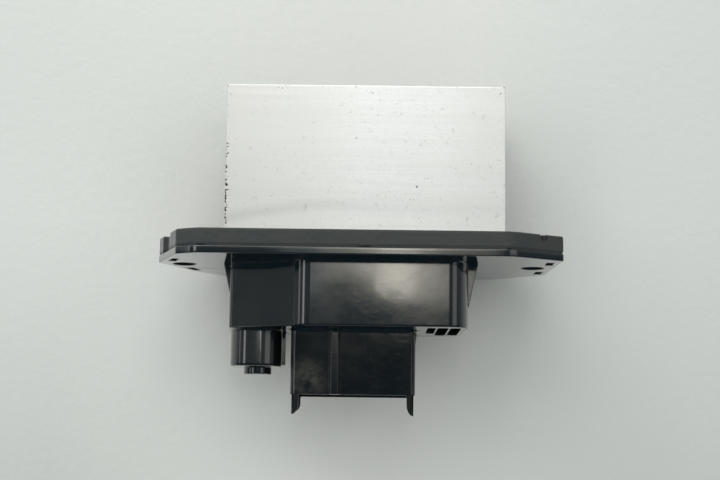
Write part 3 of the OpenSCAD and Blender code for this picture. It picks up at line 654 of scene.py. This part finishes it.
# painted light colour for the low part of the heat sink's front
METAL_PAINTED_LIGHT_AT_FOOT = (0.985, 0.98, 0.955)
FINE_LINE = (0.80, 0.79, 0.765)
COARSE_LINE = (0.84, 0.83, 0.80)
METAL_CLOUD = (0.80, 0.79, 0.76)
# painted shade colours for the heat sink's front
PAINTED_SHADE_AT_FOOT = (0.74, 0.725, 0.685)
PAINTED_SHADE_AT_LEFT = (0.66, 0.645, 0.60)
PAINTED_SHADE_AT_RIGHT = (0.76, 0.755, 0.73)
METAL_MOTTLE = (0.74, 0.735, 0.70)
PAINTED_SHADE_BAND = (0.50, 0.50, 0.48)
PIT_BROWN = (0.16, 0.13, 0.10)
SAW_DIRT = (0.10, 0.075, 0.05)


def on_front(x, z):
    """A point on the front face of the heat sink, in millimetres."""
    return mm(x, sink_low.y / MM, z)


material, tree, shader = finish("bare_extrusion", Metallic=1.0, Anisotropic=0.35)
place = add(tree, "TexCoord").outputs["Object"]
along, _, height_up = along_axes(tree, place)
normal = add(tree, "NewGeometry").outputs["True Normal"]
sawn = spread(tree, maths(tree, "ABSOLUTE", along_axes(tree, normal)[0]), 0.6, 0.9)
lines = use(tree, die_lines, Pitch=0.0006)
fine_line = spread(tree, lines["Fine"], 0.3, 0.7)
coarse_line = spread(tree, lines["Coarse"], 0.3, 0.7)
clouds = patches(tree, place, 55.0, 3.0)
# painted highlight: the metal is painted brightest right of the middle, at the top
painted_highlight = spread(tree, distance_from(tree, place, on_front(8, 37)), 24 * MM, 5 * MM)
colour = blend_colour(tree, painted_highlight, METAL, METAL_PAINTED_HIGHLIGHT)
# painted light: the metal is painted paler just above its foot
colour = blend_colour(tree, spread(tree, height_up, 0.014, 0.008, 0, 0.8), colour, METAL_PAINTED_LIGHT_AT_FOOT)
colour = blend_colour(tree, times(tree, fine_line, 0.5), colour, FINE_LINE)
colour = blend_colour(tree, times(tree, coarse_line, 0.3), colour, COARSE_LINE)
colour = blend_colour(tree, spread(tree, clouds, 0.5, 0.75, 0, 0.2), colour, METAL_CLOUD)
# painted shade: the metal is painted darker low down, to the left and at the right end
shade_low_down = spread(tree, height_up, 0.036, 0.006)
shade_to_left = spread(tree, along, 0.0, sink_low.x)
shade_to_left = times(tree, shade_to_left, spread(tree, shade_low_down, 0, 1, 0.55, 0.6))
shade_to_right = spread(tree, along, 0.019, sink_high.x, 0.0, 0.4)
colour = blend_colour(tree, times(tree, shade_low_down, 0.05), colour, PAINTED_SHADE_AT_FOOT)
colour = blend_colour(tree, shade_to_left, colour, PAINTED_SHADE_AT_LEFT)
colour = blend_colour(tree, shade_to_right, colour, PAINTED_SHADE_AT_RIGHT)
mottle = spread(tree, patches(tree, place, 1300.0, 4.0, 0.7), 0.45, 0.75, 0, 0.35)
colour = blend_colour(tree, mottle, colour, METAL_MOTTLE)
# painted shade: a darker band low on the front; it sags and gets stronger towards the left
sag = spread(tree, along, -0.012, sink_low.x, 0.0, 0.0038)
waves = times(tree, patches(tree, place, 28.0, 1.0), 0.004)
band_at = maths(tree, "ADD", maths(tree, "ADD", height_up, sag), waves)
band_top = spread(tree, band_at, 0.0156, 0.0134)
band = times(tree, spread(tree, band_at, 0.0112, 0.0132), band_top)
band = times(tree, band, spread(tree, along, 0.01, -0.022, 0.09, 0.32))
colour = blend_colour(tree, band, colour, PAINTED_SHADE_BAND)
# pits, stains and specks
marks = None
for x, z, radius in PITS:
    off = distance_from(tree, place, on_front(x, z))
    pit = spread(tree, off, radius * MM, radius * 0.4 * MM)
    marks = pit if marks is None else maths(tree, "MAXIMUM", marks, pit)
stain = spread(tree, patches(tree, place, 800.0, 2.0, 0.6), 0.64, 0.75, 0.0, 0.2)
fleck = times(tree, use(tree, specks, Spacing=0.0022, Size=0.12, Share=0.3)["Mask"], 0.10)
marks = maths(tree, "MAXIMUM", marks, maths(tree, "MAXIMUM", stain, fleck))
colour = blend_colour(tree, times(tree, marks, 0.85), colour, PIT_BROWN)
# dirt on the edge of the left saw cut, thickest low down, and less of it on the sawn face
near_cut = spread(tree, along, sink_low.x + 1.3 * MM, sink_low.x + 0.1 * MM)
low_down = spread(tree, height_up, 0.034, 0.018, 0.25, 1.0)
thickness = times(tree, times(tree, near_cut, low_down), 0.24)
dirt = maths(tree, "ADD", patches(tree, place, 1500.0, 3.0), thickness)
dirt = times(tree, spread(tree, dirt, 0.72, 0.77), spread(tree, near_cut, 0.0, 0.15))
dirt = times(tree, dirt, spread(tree, sawn, 0, 1, 1.0, 0.35))
colour = blend_colour(tree, dirt, colour, SAW_DIRT)
satin = spread(tree, lines["Fine"], 0.3, 0.7, 0.62, 0.5)
dull = times(tree, maths(tree, "MAXIMUM", marks, dirt), 0.3)
feed(tree, shader, Base_Color=colour, Roughness=maths(tree, "ADD", satin, dull))
# the die lines stand out a little, the saw has left upright lines and the marks are pitted
saw_place = add(tree, "Mapping", {"Vector": place, "Scale": (1.0, 4200.0, 160.0)}).outputs[0]
saw_lines = times(tree, patches(tree, saw_place, 1.0, 2.0), sawn)
height = maths(tree, "ADD", lines["Fine"], times(tree, lines["Coarse"], 2.0))
height = maths(tree, "ADD", height, times(tree, saw_lines, 4.0))
height = maths(tree, "SUBTRACT", height, times(tree, marks, 2.5))
emboss(tree, shader, height, 0.4, 0.03 * MM)
heat_sink.data.materials.append(material)


# ---- Screws ----
# Zinc-plated pan-head screws: two hold the heat sink, two hold the board and one, with its
# washer, presses the transistor against the heat sink.

SCREW_ROUND = 0.12 * MM

# plating: cloudy variation and fine grain that any plated metal has
tree, given, result = effect("plating", {"Cloud": 300.0, "Grain": 5000.0}, ["Cloudy", "Grain"])
plating = tree
place = add(tree, "TexCoord").outputs["Object"]
cloud = patches(tree, place, given["Cloud"], 3.0)
grain = patches(tree, place, given["Grain"], 2.0)
tree.links.new(spread(tree, cloud, 0.3, 0.7), result["Cloudy"])
tree.links.new(spread(tree, grain, 0.3, 0.7), result["Grain"])

WORN_METAL = (0.85, 0.85, 0.84)


def metal(name, bright, dull, roughness):
    """A metal finish that varies from bright to dull, with its edges worn bare."""
    material, tree, shader = finish(name, Metallic=1.0)
    skin = use(tree, plating)
    rub = use(tree, rubbed_edges, Width=0.0003, Break_Up=1500.0)["Mask"]
    colour = blend_colour(tree, skin["Cloudy"], bright, dull)
    colour = blend_colour(tree, times(tree, rub, 0.6), colour, WORN_METAL)
    satin = spread(tree, skin["Cloudy"], 0, 1, roughness, roughness + 0.18)
    feed(tree, shader, Base_Color=colour, Roughness=satin)
    emboss(tree, shader, skin["Grain"], 0.4, 0.02 * MM)
    return material


zinc = metal("zinc_plate", (0.74, 0.75, 0.76), (0.6, 0.61, 0.62), 0.28)
for node in ("heat_sink_screws", "board_screws", "transistor_screw", "transistor_washer"):
    piece = rounded_copy(node + "_zinc", node, SCREW_ROUND, 2)
    piece.data.materials.append(zinc)


# ---- Plug terminals and other plated parts ----
# Flat blades stamped from brass strip and tinned, the tinned legs of the electronic parts, the
# solder on them, the transistor's plated copper tab and the bent strip of resistance alloy.

BLADE_ROUND = 0.15 * MM

tinned = metal("tin_plate", (0.78, 0.775, 0.75), (0.66, 0.655, 0.63), 0.3)
for node in ("terminal_supply", "terminal_signal", "terminal_ground", "terminal_motor"):
    piece = rounded_copy(node + "_blade", node, BLADE_ROUND, 2)
    piece.data.materials.append(tinned)


def refinish(node, material):
    """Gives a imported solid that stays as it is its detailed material."""
    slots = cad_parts[node].data.materials
    slots.clear()
    slots.append(material)


for node in ("transistor_leads", "capacitor_leads", "control_chip_legs", "diode_tabs"):
    refinish(node, tinned)
refinish("solder_joints", metal("bright_solder", (0.7, 0.7, 0.72), (0.6, 0.6, 0.62), 0.2))
refinish("transistor_tab", metal("plated_tab", (0.72, 0.62, 0.52), (0.6, 0.5, 0.42), 0.35))
refinish("shunt_resistor", metal("resistance_strip", (0.62, 0.4, 0.28), (0.45, 0.3, 0.22), 0.35))


# ---- Moulded and coated electronic parts ----
# Black moulding compound, the capacitor's shrunk sleeve and rubber bung, fired ceramic and the
# silicone sheet under the transistor: all hidden in the box, with plain factory finishes.


def coated(name, first, second, roughness, grain, depth):
    """A plastic, rubber or ceramic skin that varies between two colours, with a fine grain."""
    material, tree, shader = finish(name)
    skin = use(tree, plating, Cloud=400.0, Grain=grain)
    rub = use(tree, rubbed_edges, Width=0.0003, Break_Up=1500.0)["Mask"]
    colour = blend_colour(tree, skin["Cloudy"], first, second)
    pale = [min(1.0, part * 1.8 + 0.03) for part in second]
    colour = blend_colour(tree, times(tree, rub, 0.4), colour, pale)
    satin = spread(tree, skin["Grain"], 0, 1, roughness, roughness + 0.12)
    feed(tree, shader, Base_Color=colour, Roughness=satin)
    emboss(tree, shader, skin["Grain"], 0.5, depth)
    return material


# the nodes, the finish, its two colours, its roughness, and the scale and depth of its grain
COATED_PARTS = [
    (
        ("transistor_case", "control_chip", "diode_body"),
        "moulding_compound", (0.02, 0.02, 0.021), (0.032, 0.032, 0.033), 0.5, 6000.0, 0.03 * MM,
    ),
    (
        ("capacitor_can",),
        "shrunk_sleeve", (0.02, 0.03, 0.09), (0.03, 0.04, 0.11), 0.22, 900.0, 0.03 * MM,
    ),
    (
        ("capacitor_bung",),
        "bung_rubber", (0.02, 0.02, 0.02), (0.03, 0.03, 0.03), 0.7, 3000.0, 0.04 * MM,
    ),
    (
        ("insulating_pad",),
        "silicone_sheet", (0.5, 0.47, 0.42), (0.58, 0.55, 0.5), 0.6, 4000.0, 0.03 * MM,
    ),
    (
        ("chip_resistors",),
        "resistor_glaze", (0.02, 0.02, 0.025), (0.04, 0.04, 0.045), 0.3, 4000.0, 0.02 * MM,
    ),
    (
        ("chip_capacitors",),
        "fired_ceramic", (0.42, 0.32, 0.2), (0.5, 0.4, 0.27), 0.45, 4000.0, 0.03 * MM,
    ),
]
for nodes, name, *skin in COATED_PARTS:
    material = coated(name, *skin)
    for node in nodes:
        refinish(node, material)


# ---- Circuit board ----
# Glass-epoxy laminate under green solder mask, screwed into the box. The copper tracks show
# through the mask as paler lines.

MASK_GREEN = (0.015, 0.085, 0.04)
MASK_OVER_COPPER = (0.04, 0.16, 0.07)
MASK_OVER_WEAVE = (0.02, 0.06, 0.035)

material, tree, shader = finish("green_solder_mask")
place = add(tree, "TexCoord").outputs["Object"]
tracks = add(
    tree,
    "TexVoronoi",
    {"Vector": place, "Scale": 260.0},
    distance="CHEBYCHEV",
    feature="DISTANCE_TO_EDGE",
)
copper = spread(tree, tracks.outputs["Distance"], 0.10, 0.07)
weave = patches(tree, place, 2400.0, 2.0)
colour = blend_colour(tree, copper, MASK_GREEN, MASK_OVER_COPPER)
colour = blend_colour(tree, spread(tree, weave, 0.4, 0.7, 0.0, 0.3), colour, MASK_OVER_WEAVE)
feed(tree, shader, Base_Color=colour, Roughness=spread(tree, weave, 0.3, 0.7, 0.25, 0.4))
emboss(tree, shader, maths(tree, "ADD", copper, weave), 0.5, 0.03 * MM)
refinish("circuit_board", material)
